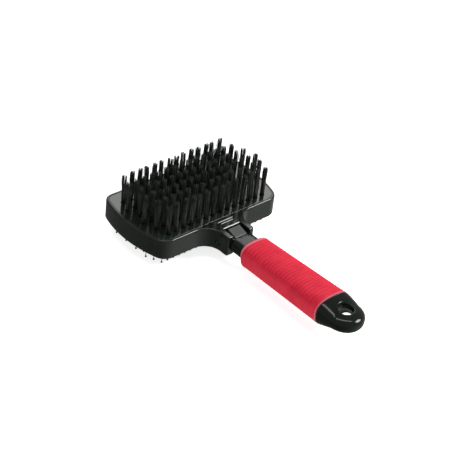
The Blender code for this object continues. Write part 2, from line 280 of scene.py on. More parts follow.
def metal(name, dark, light, rough, streak):
    """Drawn or turned metal with fine streaks along the given stretch."""
    n = Nodes(name)
    streaks = n.noise(n.stretched(streak), 1.0, 3.0, 0.6)
    n.link(n.ramp(streaks, [(0.3, dark), (0.7, light)]), n.shader.inputs["Base Color"])
    n.spread(streaks, rough[0], rough[1], "Roughness")
    n.bump(streaks, 0.00003, 0.4)
    n.shader.inputs["Metallic"].default_value = 1.0
    return n.mat


def bristle(name):
    """Black nylon monofilament: each strand a little different, with a soft sheen along its length, and
    painted shade that darkens the top of each tuft.
    """
    n = Nodes(name)
    strand = n.noise(n.stretched((2600.0, 2600.0, 60.0)), 1.0, 2.0, 0.6)
    body = n.ramp(strand, [(0.34, (0.010, 0.014, 0.010)), (0.54, (0.023, 0.030, 0.023)),
                           (0.74, (0.115, 0.128, 0.110))])
    # Painted shade: the colour darkens over the top few millimetres of the tufts, so that their lit tips look
    # dark.
    painted_tip_shade = n.remapped(n.axis("Z"), (TIP_Z - 7.0 + SHIFT_Z) * MM, (TIP_Z - 1.0 + SHIFT_Z) * MM, 0.0, 0.85)
    n.link(n.tinted(painted_tip_shade, body, (0.004, 0.005, 0.004)), n.shader.inputs["Base Color"])
    n.spread(n.noise(n.coords, 1800.0, 2.0), 0.4, 0.58, "Roughness")
    n.bump(strand, 0.00003, 0.3)
    n.shader.inputs["Specular IOR Level"].default_value = 0.3
    return n.mat


HOUSING = moulded("housing_plastic", (0.0035, 0.0065, 0.0038), (0.006, 0.0105, 0.0062), (0.17, 0.23))
PLATE = moulded("plate_plastic", (0.009, 0.013, 0.009), (0.012, 0.017, 0.012), (0.12, 0.17),
                grain=1100.0, grain_depth=0.00002)
BACKING = moulded("backing_plastic", (0.012, 0.012, 0.012), (0.03, 0.03, 0.03), (0.5, 0.62))
CUSHION = rubber("cushion_rubber", (0.018, 0.018, 0.019), (0.034, 0.034, 0.035), (0.6, 0.75))
BRISTLE = bristle("bristle_nylon")
WIRE = metal("pin_wire_steel", (0.5, 0.49, 0.47), (0.74, 0.73, 0.7), (0.22, 0.36), (900.0, 900.0, 120.0))
BALL = moulded("pin_ball_resin", (0.01, 0.01, 0.01), (0.025, 0.025, 0.025), (0.25, 0.4), grain=2500.0)
CATCH = metal("catch_pin_steel", (0.05, 0.05, 0.052), (0.12, 0.12, 0.122), (0.28, 0.42),
              (160.0, 900.0, 900.0))
# The latch is black plastic like the housing. Its grey base colour is painted sheen, standing in for the
# light that its upward face reflects.
LATCH = moulded("latch_plastic_grey_painted_sheen", (0.055, 0.064, 0.060), (0.085, 0.096, 0.091), (0.3, 0.42),
                specular=0.3, grain=1300.0)
HANDLE = moulded("handle_plastic", (0.003, 0.0052, 0.0034), (0.0055, 0.0085, 0.006), (0.09, 0.15),
                 specular=0.24, grain=700.0, grain_depth=0.00002)
# The pale colour at the grip's two lips is a painted highlight.
GRIP = rubber("grip_red_rubber", (0.52, 0.011, 0.032), (0.64, 0.020, 0.047), (0.5, 0.62),
              specular=0.14, painted_highlight_lips=(GRIP_FRONT, GRIP_BACK), painted_highlight_colour=(0.52, 0.20, 0.22))


# ---------------------------------------------------------------- mesh helpers

def mesh_object(bm, name, mat):
    """Turn a bmesh drawn in plan millimetres into an object in the world's metres."""
    for v in bm.verts:
        v.co = place(*v.co)
    bmesh.ops.recalc_face_normals(bm, faces=bm.faces)
    mesh = bpy.data.meshes.new(name)
    bm.to_mesh(mesh)
    bm.free()
    mesh.materials.append(mat)
    ob = bpy.data.objects.new(name, mesh)
    bpy.context.scene.collection.objects.link(ob)
    return ob


def bake_modifiers(ob):
    """Replace the object's mesh by the result of its modifiers."""
    bpy.context.view_layer.update()
    graph = bpy.context.evaluated_depsgraph_get()
    mesh = bpy.data.meshes.new_from_object(ob.evaluated_get(graph))
    ob.modifiers.clear()
    old, name = ob.data, ob.data.name
    ob.data = mesh
    bpy.data.meshes.remove(old)
    mesh.name = name


def boolean(target, cutters, operation="DIFFERENCE"):
    """Cut or join each cutter into the target, and delete the cutters."""
    for cutter in cutters:
        mod = target.modifiers.new("cut", "BOOLEAN")
        mod.operation = operation
        mod.solver = "EXACT"
        mod.object = cutter
        bake_modifiers(target)
        bpy.data.objects.remove(cutter, do_unlink=True)


def shade(ob, degrees, weighted=True):
    """Smooth shading, with edges sharper than the given angle kept sharp."""
    ob.data.shade_smooth()
    ob.data.set_sharp_from_angle(angle=degrees * pi / 180)
    if weighted:
        mod = ob.modifiers.new("weighted", "WEIGHTED_NORMAL")
        mod.keep_sharp = True
        bake_modifiers(ob)


def soften(ob, width, segments, degrees):
    """Bevel every edge sharper than the given angle."""
    mod = ob.modifiers.new("bevel", "BEVEL")
    mod.width = width * MM
    mod.segments = segments
    mod.limit_method = "ANGLE"
    mod.angle_limit = degrees * pi / 180
    mod.use_clamp_overlap = True
    bake_modifiers(ob)


def attach(ob, body, slot, *nodes):
    """Fix a piece to its moving body, in place of the CAD nodes named."""
    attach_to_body(ob, body)
    if nodes:
        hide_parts(*nodes)


def loft(bm, loops, capped=True, closed=False):
    """Skin a list of equal-length loops of (x, y, z) points."""
    rings = [[bm.verts.new(p) for p in loop] for loop in loops]
    n = len(rings[0])
    pairs = list(zip(rings, rings[1:]))
    if closed:
        pairs.append((rings[-1], rings[0]))
    for a, b in pairs:
        for i in range(n):
            j = (i + 1) % n
            bm.faces.new((a[i], a[j], b[j], b[i]))
    if capped and not closed:
        bm.faces.new(rings[0][::-1])
        bm.faces.new(rings[-1])
    return rings


def drawn(name, mat, draw):
    """An object from a function that draws into a bmesh."""
    bm = bmesh.new()
    draw(bm)
    return mesh_object(bm, name, mat)


def cutters(mat, *draws):
    return [drawn(draw.__name__, mat, draw) for draw in draws]


def box(bm, x0, x1, y0, y1, z0, z1):
    loft(bm, [[(x0, y0, z), (x1, y0, z), (x1, y1, z), (x0, y1, z)] for z in (z0, z1)])


def level(loop, z):
    return [(x, y, z) for x, y in loop]


def arc(cx, cy, r, a0, a1, steps):
    return [(cx + r * cos(a0 + (a1 - a0) * i / steps), cy + r * sin(a0 + (a1 - a0) * i / steps))
            for i in range(steps + 1)]


def circle(cx, cy, r, steps):
    return arc(cx, cy, r, 0.0, 2 * pi, steps)[:-1]


def rod_x(bm, y, z, stations, sides):
    """Round bar along X through (x, radius) stations."""
    loft(bm, [[(x, y + r * cos(2 * pi * i / sides), z + r * sin(2 * pi * i / sides)) for i in range(sides)]
              for x, r in stations])


def inset_loop(loop, d):
    """Move each side of a closed anticlockwise loop inward by d."""
    out = []
    n = len(loop)
    for i in range(n):
        (x0, y0), (x1, y1), (x2, y2) = loop[i - 1], loop[i], loop[(i + 1) % n]
        ax, ay, bx, by = x1 - x0, y1 - y0, x2 - x1, y2 - y1
        la, lb = sqrt(ax * ax + ay * ay), sqrt(bx * bx + by * by)
        nx, ny = -ay / la - by / lb, ax / la + bx / lb
        scale = 2 * d / (nx * nx + ny * ny)
        out.append((x1 + nx * scale, y1 + ny * scale))
    return out


def rounded_levels(z_low, z_high, r, steps=5):
    """(inset, z) pairs for a wall with both its edges rounded to radius r."""
    turns = [pi / 2 * i / steps for i in range(steps + 1)]
    low = [(r * (1 - sin(t)), z_low + r * (1 - cos(t))) for t in turns]
    high = [(r * (1 - cos(t)), z_high - r * (1 - sin(t))) for t in turns]
    return low + high


# ---------------------------------------------------------------- head outline

def side_x(y, inset):
    """The head's bowed side at y."""
    return HEAD_HALF_WIDTH - inset - HEAD_BOW * ((y - BOW_CENTRE) / BOW_SPAN) ** 2


def side_angle(y):
    return atan2(2 * HEAD_BOW * (y - BOW_CENTRE) / BOW_SPAN ** 2, 1.0)


def right_side(inset):
    """Right-hand half of the head's plan, from the front edge round to the back edge."""
    rf, rb = FRONT_RADIUS - inset, BACK_RADIUS - inset
    yf, yb = inset + rf, HEAD_BACK - inset - rb
    for _ in range(20):
        af = side_angle(yf)
        yf = inset + rf * (1 + sin(af))
        ab = side_angle(yb)
        yb = HEAD_BACK - inset - rb * (1 - sin(ab))
    front_x = side_x(yf, inset) - rf * cos(af)
    back_x = side_x(yb, inset) - rb * cos(ab)
    points = arc(front_x, inset + rf, rf, -pi / 2, af, 18)
    points += [(side_x(yf + (yb - yf) * i / 28, inset), yf + (yb - yf) * i / 28) for i in range(1, 28)]
    points += arc(back_x, HEAD_BACK - inset - rb, rb, ab, pi / 2, 16)
    return points


def head_plan(inset=0.0):
    right = right_side(inset)
    return right + [(-x, y) for x, y in reversed(right)]


def anchor_plan():
    """Closed plan of the head with its filleted neck and rounded ear corners, anticlockwise."""
    ear = arc(NECK_HALF - EAR_ROUND, NECK_END + EAR_ROUND, EAR_ROUND, -pi / 2, 0.0, 6)
    fillet = arc(NECK_HALF + NECK_FILLET, -NECK_FILLET, NECK_FILLET, pi, pi / 2, 24)
    right = ear + fillet + right_side(0.0)
    return right + [(-x, y) for x, y in reversed(right)]


# ---------------------------------------------------------------- head

def make_housing():
    plan = anchor_plan()

    def shell(bm):
        loft(bm, [level(inset_loop(plan, d) if d > 1e-6 else plan, z)
                  for d, z in rounded_levels(-HEAD_THICK, 0.0, EDGE_ROUND)])

    def tray(bm):
        low = RIM_WIDTH + TRAY_RUN
        steps = [(low, TOP_POCKET_Z), (low, -0.3), (RIM_WIDTH, -0.12), (RIM_WIDTH - 0.12, -0.03),
                 (RIM_WIDTH - 0.25, 0.02), (RIM_WIDTH - 0.25, 1.0)]
        loft(bm, [level(head_plan(d), z) for d, z in steps])

    def underside(bm):
        mouth = [(0.7, -1.0), (0.7, -0.05), (0.35, 0.1), (0.08, 0.4), (0.0, 0.8)]
        steps = [(BOTTOM_POCKET_INSET - flare, -HEAD_THICK + rise) for flare, rise in mouth]
        loft(bm, [level(head_plan(d), z) for d, z in steps + [(BOTTOM_POCKET_INSET, BOTTOM_POCKET_Z)]])

    def socket(bm):
        box(bm, -SOCKET_HALF, SOCKET_HALF, NECK_END - 1, SOCKET_END, SOCKET_BOTTOM, SOCKET_TOP)

    def fork(bm):
        corner, flare = 0.8, 0.4
        plan = [(-SOCKET_HALF, NECK_END - 2), (SOCKET_HALF, NECK_END - 2)]
        plan += arc(SOCKET_HALF - corner, FORK_ROOT - corner, corner, 0.0, pi / 2, 5)
        plan += arc(-SOCKET_HALF + corner, FORK_ROOT - corner, corner, pi / 2, pi, 5)
        wide = [(x * (SOCKET_HALF + flare) / SOCKET_HALF, y + (flare if y > NECK_END else 0))
                for x, y in plan]
        loft(bm, [level(plan, SOCKET_TOP - 1), level(plan, -0.4), level(wide, 0.02), level(wide, 2.0)])

    def floor_slot(bm):
        half, corner = 5.4, 1.0
        plan = [(-half, NECK_END - 3), (half, NECK_END - 3)]
        plan += arc(half - corner, FLOOR_SLOT_END - corner, corner, 0.0, pi / 2, 5)
        plan += arc(-half + corner, FLOOR_SLOT_END - corner, corner, pi / 2, pi, 5)
        loft(bm, [level(plan, -HEAD_THICK - 2), level(plan, SOCKET_BOTTOM + 1)])

    def pin_hole(bm):
        wide = PIN_R + 0.75
        rod_x(bm, PIN_Y, PIN_Z, [(-NECK_HALF - 4, wide + 0.1), (-NECK_HALF - 0.02, wide),
                                 (-NECK_HALF + 0.5, PIN_R + GAP), (NECK_HALF - 0.5, PIN_R + GAP),
                                 (NECK_HALF + 0.02, wide), (NECK_HALF + 4, wide + 0.1)], 32)

    def end_flare(bm):
        """Softens the inner mouth of the fork where the handle goes in."""
        half, flare = SOCKET_HALF, 0.45
        loft(bm, [[(-half - k, y, SOCKET_BOTTOM - k * 0.6), (half + k, y, SOCKET_BOTTOM - k * 0.6),
                   (half + k, y, 2.0), (-half - k, y, 2.0)]
                  for y, k in ((NECK_END - 1, flare + 0.1), (NECK_END - 0.02, flare), (NECK_END + 0.5, 0.0))])

    housing = drawn("housing", HOUSING, shell)
    boolean(housing, cutters(HOUSING, tray, underside, socket, fork, floor_slot, pin_hole, end_flare))

    def rib(bm):
        """Two low ribs across the neck, behind the latch."""
        for y, top, half in ((-1.2, RIB_TOP, 6.2), (-3.0, 0.32, 5.2)):
            profile = [(-0.5, -1.0), (0.5, -1.0), (0.5, top - 0.3), (0.28, top - 0.06),
                       (0.0, top), (-0.28, top - 0.06), (-0.5, top - 0.3)]
            loft(bm, [[(x, y + a * k, z if z < 0 else z * (0.4 + 0.6 * k)) for a, z in profile]
                      for x, k in ((-half, 0.45), (-half + 0.4, 1.0), (half - 0.4, 1.0), (half, 0.45))])

    boolean(housing, [drawn("neck_ribs", HOUSING, rib)], "UNION")
    shade(housing, 32)
    attach(housing, "head", "housing_black", "head_frame")


def tuft_places():
    """(x, y) of each tuft, row by row."""
    rows = []
    for k, (first, last) in enumerate(TUFT_ROWS):
        y = TUFT_FIRST_Y + k * TUFT_ROW_PITCH
        count = int(round(last - first)) + 1
        rows.append([((first + i) * TUFT_PITCH, y) for i in range(count)])
    return rows


def wire_places():
    """(x, y) of each wire pin, row by row."""
    rows = []
    for k, count in enumerate(WIRE_ROWS):
        y = WIRE_FIRST_Y + k * WIRE_ROW_PITCH
        rows.append([((i - (count - 1) / 2) * WIRE_PITCH, y) for i in range(count)])
    return rows


def strip_rows(rows):
    """Rows without the four corner places, which are pieces of their own."""
    return [row[1:-1] if k in (0, len(rows) - 1) else row for k, row in enumerate(rows)]


def corners(rows):
    return [rows[0][0], rows[0][-1], rows[-1][0], rows[-1][-1]]


def make_plate():
    inset = RIM_WIDTH + TRAY_RUN + 0.1
    low, high = TOP_POCKET_Z + GAP, -TRAY_DEPTH

    def slab(bm):
        steps = [(inset, low), (inset, high - 0.22), (inset + 0.04, high - 0.1), (inset + 0.12, high - 0.03),
                 (inset + 0.24, high)]
        loft(bm, [level(head_plan(d), z) for d, z in steps])

    def wells(bm):
        """A shallow countersunk well round the foot of each tuft."""
        stations = ((1.45, -1.2), (1.45, -0.3), (1.6, -0.12), (1.85, 0.02), (1.95, 0.4))
        for row in tuft_places():
            for x, y in row:
                loft(bm, [level(circle(x, y, r, 20), high + rise) for r, rise in stations])

    plate = drawn("bristle_plate_top", PLATE, slab)
    boolean(plate, [drawn("wells", PLATE, wells)])
    shade(plate, 32)
    attach(plate, "head", "plate_black", "bristle_plate")


def filament(verts, faces, base, top, bow, r):
    """One closed bristle from base to top, bowed sideways, with a slightly tapered end."""
    sides, rings = 3, 4
    start = len(verts)
    turn = rng.uniform(0, 2 * pi)
    for k in range(rings + 1):
        t = k / rings
        centre = base.lerp(top, t) + bow * (t - t * t)
        radius = r * (1.0 if k < rings else 0.62)
        for i in range(sides):
            a = turn + 2 * pi * i / sides
            verts.append(tuple(place(centre.x + radius * cos(a), centre.y + radius * sin(a), centre.z)))
    for k in range(rings):
        for i in range(sides):
            j = (i + 1) % sides
            a, b = start + k * sides, start + (k + 1) * sides
            faces.append((a + i, a + j, b + j, b + i))
    faces.append(tuple(start + i for i in reversed(range(sides))))
    faces.append(tuple(start + rings * sides + i for i in range(sides)))


def add_tuft(verts, faces, x, y):
    """A bundle of bristles packed at the foot, spreading and fraying towards ragged tips."""
    height = TIP_Z + rng.uniform(-0.8, 0.35)
    lean = Vector((rng.gauss(0, TUFT_LEAN), rng.gauss(0, TUFT_LEAN), 0))
    split = rng.uniform(0, 2 * pi)
    parted = rng.random() < PARTED_SHARE
    for i in range(FILAMENTS):
        a = i * GOLDEN_ANGLE + rng.uniform(-0.2, 0.2)
        radial = sqrt((i + 0.5) / FILAMENTS)
        out = Vector((cos(a), sin(a), 0))
        base = Vector((x, y, TUFT_FOOT_Z)) + out * (TUFT_FOOT_R * radial)
        spread = TUFT_TIP_R * radial * rng.uniform(0.82, 1.2)
        tip = Vector((x, y, 0)) + lean + out * spread
        if parted:
            side = 1.0 if cos(a - split) > 0 else -1.0
            tip += Vector((cos(split), sin(split), 0)) * side * PARTED_BY
        z = height + rng.gauss(0, TIP_RAGGED)
        kind = rng.random()
        if kind < SHORT_SHARE:
            z -= rng.uniform(0.5, 2.0)
        elif kind < SHORT_SHARE + STRAY_SHARE:
            tip += out * rng.uniform(0.4, 1.5)
            z -= 0.2
        tip.z = min(z, TIP_LIMIT)
        bow = Vector((rng.gauss(0, FILAMENT_BOW), rng.gauss(0, FILAMENT_BOW), 0))
        filament(verts, faces, base, tip, bow, FILAMENT_R * rng.uniform(0.85, 1.12))


def tuft_object(name, spots, node):
    """One piece with a tuft at each spot. It has many bristles, so plain lists are filled, not a bmesh."""
    verts, faces = [], []
    for x, y in spots:
        add_tuft(verts, faces, x, y)
    mesh = bpy.data.meshes.new(name)
    mesh.from_pydata(verts, [], faces)
    mesh.validate()
    mesh.materials.append(BRISTLE)
    ob = bpy.data.objects.new(name, mesh)
    bpy.context.scene.collection.objects.link(ob)
    mesh.shade_smooth()
    mesh.set_sharp_from_angle(angle=112.5 * pi / 180)
    attach(ob, "head", "bristle_black", node)


def make_tufts():
    rows = tuft_places()
    for k, row in enumerate(strip_rows(rows)):
        tuft_object("tuft_row_%d" % (k + 1), row, "bristle_row_%d" % (k + 1))
    for n, spot in enumerate(corners(rows)):
        tuft_object("tuft_corner_%d" % (n + 1), [spot], "bristle_corner_tuft_%d" % (n + 1))


def make_pins():
    def wires(bm, spots):
        for x, y in spots:
            loft(bm, [level(circle(x, y, r, 12), z) for r, z in
                      ((WIRE_R, CUSHION_BOTTOM + 1.0), (WIRE_R, BALL_BOTTOM + BALL_R))])

    def balls(bm, spots):
        """Balls drawn up a little towards the wire, each closed by a point at either end."""
        steps, sides, stretch = 9, 16, 1.12
        centre = BALL_BOTTOM + BALL_R
        for x, y in spots:
            loops = []
            for k in range(steps + 1):
                t = pi * (0.06 + 0.88 * k / steps)
                z = centre + BALL_R * cos(t) * (1.0 if cos(t) < 0 else stretch)
                loops.append(level(circle(x, y, BALL_R * sin(t), sides), z))
            rings = loft(bm, loops, capped=False)
            for ring, z in ((rings[0], centre + BALL_R * stretch), (rings[-1], BALL_BOTTOM)):
                cap = bm.verts.new((x, y, z))
                for i in range(sides):
                    bm.faces.new((ring[i], ring[(i + 1) % sides], cap))

    rows = wire_places()
    groups = [("row_%d" % (k + 1), row, "wire_pin_row_%d" % (k + 1))
              for k, row in enumerate(strip_rows(rows))]
    groups += [("corner_%d" % (n + 1), [spot], "wire_corner_pin_%d" % (n + 1))
               for n, spot in enumerate(corners(rows))]
    for label, spots, node in groups:
        bm = bmesh.new()
        wires(bm, spots)
        ob = mesh_object(bm, "pin_wires_" + label, WIRE)
        shade(ob, 50, False)
        attach(ob, "head", "pin_steel", node)
        bm = bmesh.new()
        balls(bm, spots)
        ob = mesh_object(bm, "pin_balls_" + label, BALL)
        shade(ob, 70, False)
        attach(ob, "head", "housing_black")


def make_cushion():
    inset = BOTTOM_POCKET_INSET + GAP

    def pad(bm):
        steps = [(0.0, CUSHION_TOP), (0.0, CUSHION_BOTTOM + 1.2), (0.12, CUSHION_BOTTOM + 0.7),
                 (0.5, CUSHION_BOTTOM + 0.25), (1.1, CUSHION_BOTTOM + 0.02), (2.0, CUSHION_BOTTOM - 0.06)]
        loft(bm, [level(head_plan(inset + d), z) for d, z in steps])

    def dimples(bm):
        """The rubber is drawn in a little round each wire."""
        stations = ((0.3, 0.6), (0.4, 0.3), (0.65, 0.08), (0.95, -0.07), (1.05, -0.5))
        for row in wire_places():
            for x, y in row:
                loft(bm, [level(circle(x, y, r, 16), CUSHION_BOTTOM + rise) for r, rise in stations])

    cushion = drawn("rubber_cushion", CUSHION, pad)
    boolean(cushion, [drawn("dimples", CUSHION, dimples)])
    shade(cushion, 40)
    attach(cushion, "head", "cushion_rubber", "pin_cushion")


def make_catch_pin():
    half = NECK_HALF - 0.05

    def pin(bm):
        rod_x(bm, PIN_Y, PIN_Z, [(-half, PIN_R - 0.45), (-half + 0.1, PIN_R - 0.2), (-half + 0.35, PIN_R),
                                 (half - 0.35, PIN_R), (half - 0.1, PIN_R - 0.2), (half, PIN_R - 0.45)], 32)

    ob = drawn("catch_pin_turned", CATCH, pin)
    shade(ob, 40)
    attach(ob, "head", "catch_pin_dark", "catch_pin")


# ---------------------------------------------------------------- latch

def make_latch():
    profile = [(-23.1, -9.7), (-23.1, -11.4), (-4.9, -11.4), (-4.9, -9.9), (-6.0, -8.0), (-6.8, -8.0),
               (-6.8, -10.2), (-10.6, -10.2), (-10.6, -3.4), (-9.6, -2.6), (-9.6, -0.3), (-10.0, 0.0),
               (-16.8, -2.0), (-17.2, -2.5), (-17.2, -9.9)]

    def body(bm):
        loft(bm, [[(x, y, z) for y, z in profile] for x in (-LATCH_HALF, LATCH_HALF)])

    latch = drawn("thumb_latch", LATCH, body)
    soften(latch, 0.32, 3, 25)
    shade(latch, 40)
    # The latch's grey is painted sheen on black plastic.
    attach(latch, "latch", "latch_grey", "release_latch")


# ---------------------------------------------------------------- handle

def section(y, half_w, half_h, zc, power, segments=96, slant=0.0, lift=None):
    """Superellipse across the handle at y. lift(c, s) sinks its points inward, and slant leans its plane."""
    points = []
    for i in range(segments):
        t = 2 * pi * (i + 0.5) / segments
        c, s = cos(t), sin(t)
        k = 0.0 if lift is None else lift(c, s)
        x = half_w * abs(c) ** (2 / power) * (1 if c > 0 else -1)
        dz = half_h * abs(s) ** (2 / power) * (1 if s > 0 else -1)
        size = sqrt(x * x + dz * dz)
        points.append((x * (1 - k / size), y + slant * dz, zc + dz * (1 - k / size)))
    return points


def grip_size(y):
    """Half width, half height and middle height of the grip's outside at y."""
    t = (GRIP_FRONT - y) / (GRIP_FRONT - GRIP_BACK)
    return 11.9 + 1.4 * t, 8.4 + 0.7 * t, -6.6 + 2.25 * t


def between(x, points):
    """Smooth interpolation through a few (x, value) points listed by rising x."""
    for i in range(len(points) - 1):
        (x0, v0), (x1, v1) = points[i], points[i + 1]
        if x <= x1 or i == len(points) - 2:
            before = points[max(i - 1, 0)]
            after = points[min(i + 2, len(points) - 1)]
            m0 = (v1 - before[1]) / (x1 - before[0])
            m1 = (after[1] - v0) / (after[0] - x0)
            w = x1 - x0
            t = min(max((x - x0) / w, 0.0), 1.0)
            return ((2 * t ** 3 - 3 * t * t + 1) * v0 + (t ** 3 - 2 * t * t + t) * w * m0
                    + (3 * t * t - 2 * t ** 3) * v1 + (t ** 3 - t * t) * w * m1)


CAP_HEIGHTS = [(-121.0, 1.0), (-120.6, 2.6), (-119.4, 3.9), (-117.6, 4.8), (-115.0, 5.4), (-112.0, 5.8),
               (-109.0, 6.2), (-106.0, 6.95), (-103.5, 7.7), (-101.2, 8.4), (-99.0, 9.0)]
CAP_WIDTHS = [(-109.0, 12.1), (-106.0, 12.75), (-103.5, 13.05), (-99.0, 13.3)]
CAP_MIDDLES = [(-121.0, -3.7), (-112.0, -3.7), (-109.0, -3.8), (-103.5, -4.1), (-99.0, -4.35)]


def cap_size(y):
    """Half width, half height and middle height of the end cap at y."""
    w = between(y, CAP_WIDTHS) if y > HOLE_Y else sqrt(max(CAP_RADIUS ** 2 - (y - HOLE_Y) ** 2, 0.0))
    return max(w, 1.4), between(y, CAP_HEIGHTS), between(y, CAP_MIDDLES)


def cap_power(y):
    """The end cap's section starts as square as the grip's and gets rounder towards the hole."""
    return CAP_POWER + (GRIP_POWER - CAP_POWER) * min(max((y - HOLE_Y) / (GRIP_BACK - HOLE_Y), 0.0), 1.0)


def cap_top(x, y):
    """Height of the end cap's upper surface at a plan point."""
    w, h, zc = cap_size(y)
    power = cap_power(y)
    return zc + h * max(1 - (abs(x) / w) ** power, 0.0) ** (1 / power)


def grip_stations():
    return [GRIP_FRONT + (GRIP_BACK - GRIP_FRONT) * i / 6 for i in range(7)]


def make_handle():
    loops = []
    for y, k in ((SHOULDER, 0.6), (SHOULDER - 0.15, 0.25), (SHOULDER - 0.5, 0.0), (-22.0, 0.0), (-26.6, 0.0)):
        loops.append(section(y, *SHOULDER_SIZE, SHOULDER_POWER, lift=lambda c, s, k=k: k))
    loops.append(section(-28.0, 8.6, 4.8, -6.68, 3.7))
    loops.append(section(-29.0, 9.0, 5.4, -6.65, 3.2))
    for y in grip_stations():
        w, h, zc = grip_size(y)
        loops.append(section(y, w - GRIP_WALL, h - GRIP_WALL, zc, GRIP_POWER))
    w, h, zc = grip_size(GRIP_BACK)
    end = GRIP_BACK - GAP
    for y, k in ((end, GRIP_WALL), (end, 0.6), (end - 0.1, 0.3), (end - 0.35, 0.1)):
        loops.append(section(y, w - k, h - k, zc, GRIP_POWER))
    y = CAP_FRONT
    while y > HANDLE_END + CAP_END_ROUND:
        w, h, zc = cap_size(y)
        loops.append(section(y, w, h, zc, cap_power(y)))
        y -= 0.75
    steps = 14
    for i in range(steps + 1):
        y = HANDLE_END + CAP_END_ROUND * (1 - sin(pi / 2 * i / steps))
        w, h, zc = cap_size(y)
        loops.append(section(y, w, h, zc, CAP_END_POWER))
    core = drawn("handle_moulding", HANDLE, lambda bm: loft(bm, loops))

    def tongue(bm):
        corner = 0.8
        plan = [(-TONGUE_HALF, SHOULDER - 3.0), (TONGUE_HALF, SHOULDER - 3.0)]
        plan += arc(TONGUE_HALF - corner, TONGUE_TIP - corner, corner, 0, pi / 2, 4)
        plan += arc(-TONGUE_HALF + corner, TONGUE_TIP - corner, corner, pi / 2, pi, 4)
        loft(bm, [level(inset_loop(plan, d) if d > 1e-6 else plan, z)
                  for d, z in rounded_levels(TONGUE_BOTTOM, TONGUE_TOP, 0.4, 3)])

    boolean(core, [drawn("tongue", HANDLE, tongue)], "UNION")

    def pad_bay(bm):
        box(bm, -LATCH_SLOT_HALF, LATCH_SLOT_HALF, SHOULDER + 0.01, -7.4, -20.0, 5.0)

    def tip_bay(bm):
        box(bm, -LATCH_SLOT_HALF, LATCH_SLOT_HALF, -7.6, TONGUE_TIP + 2, -21.0, -5.4)

    def arm_slot(bm):
        box(bm, -LATCH_SLOT_HALF, LATCH_SLOT_HALF, -24.2, SHOULDER + 1, -22.0, -9.3)

    def pin_slot(bm):
        box(bm, -9, 9, PIN_Y - PIN_R - 0.35, TONGUE_TIP + 3, PIN_Z - PIN_R - 0.4, PIN_Z + PIN_R + 0.4)

    def hang_hole(bm):
        """A hole with a rounded mouth that follows the cap's sloping top, through the thin web."""
        def ring(r, height):
            return [(x, y, height(x, y)) for x, y in circle(0.0, HOLE_Y, r, 64)]

        mouth = [(1.9, 0.9), (0.95, 0.12), (0.4, -0.08), (0.0, -0.4), (-0.22, -0.85), (-0.3, -1.4)]
        foot = [(-0.3, -1.1), (-0.2, -1.45), (0.05, -1.7), (0.4, -1.83), (0.5, -3.5)]
        loops = [ring(HOLE_R + d, lambda x, y, rise=rise: cap_top(x, y) + rise) for d, rise in mouth]
        loops += [ring(HOLE_R + d, lambda x, y, z=z: z) for d, z in foot]
        loft(bm, loops)

    def hole_scoop(bm):
        """Hollow under the hole, which leaves a thin web there and opens towards the grip."""
        loops = []
        for half, y0, y1, power, z in ((5.1, -114.1, -103.9, 2.0, -1.78), (5.6, -114.6, -103.4, 2.0, -1.9),
                                       (7.6, -115.2, -100.6, 2.4, -4.0), (8.8, -115.8, -99.9, 3.2, -5.8),
                                       (9.5, -116.2, -99.4, 4.0, -7.2), (10.4, -116.6, -99.2, 6.0, -10.0),
                                       (10.4, -116.6, -99.2, 6.0, -20.0)):
            flat = section(0.0, half, (y1 - y0) / 2, (y0 + y1) / 2, power, 64)
            loops.append([(x, y, z) for x, _, y in flat])
        loft(bm, loops)

    boolean(core, cutters(HANDLE, pad_bay, tip_bay, arm_slot, pin_slot, hang_hole, hole_scoop))
    shade(core, 34)
    attach(core, "handle", "handle_black", "handle_core")


def rib_lift(y):
    """How far the ribbed surface sinks below the grip's outside at y, as a function round the section."""
    inner = min(GRIP_FRONT - GRIP_LIP - y, y - GRIP_BACK - GRIP_LIP)
    fade = min(max(inner / 3.0, 0.0), 1.0)

    def lift(c, s):
        phase = (y - GRIP_FRONT) / RIB_PITCH + 0.16 * (1 - abs(s))
        groove = (0.5 + 0.5 * cos(2 * pi * phase)) ** 1.7
        face = min(max((abs(s) - 0.42) / 0.3, 0.0), 1.0)
        face = face * face * (3 - 2 * face)
        if s < 0:
            face *= 0.9
        return fade * face * RIB_DEPTH * groove
    return lift


def make_grip():
    segments = 128
    lip = GRIP_LIP

    def skin(y, sink, slant=0.0, lift=None):
        w, h, zc = grip_size(y)
        return section(y, w - sink, h - sink, zc, GRIP_POWER, segments, slant, lift)

    front = [(0.0, 1.0), (0.05, 0.6), (0.25, 0.22), (0.6, 0.04), (1.0, 0.0), (lip, 0.0), (lip + 0.18, 0.22),
             (lip + 0.5, 0.26)]
    back = [(lip + 0.5, 0.26), (lip + 0.18, 0.22), (lip, 0.0), (0.7, 0.0), (0.25, 0.1), (0.0, 0.6)]
    outer = [skin(GRIP_FRONT - d, sink, GRIP_SLANT) for d, sink in front]
    start, end = GRIP_FRONT - lip - 0.75, GRIP_BACK + lip + 0.75
    count = int(round((start - end) / RIB_PITCH * 9))
    for i in range(count + 1):
        y = start + (end - start) * i / count
        slant = GRIP_SLANT * (1 - min(i / 60.0, 1.0))
        outer.append(skin(y, 0.12, slant, rib_lift(y) if i else None))
    outer += [skin(GRIP_BACK + d, sink) for d, sink in back]
    inner = [skin(y, GRIP_WALL - GAP, GRIP_SLANT if y == GRIP_FRONT else 0.0) for y in grip_stations()]
    ob = drawn("grip_rubber", GRIP, lambda bm: loft(bm, outer + inner[::-1], closed=True))
    shade(ob, 50)
    attach(ob, "handle", "grip_red", "grip_sleeve")


# ---------------------------------------------------------------- setting

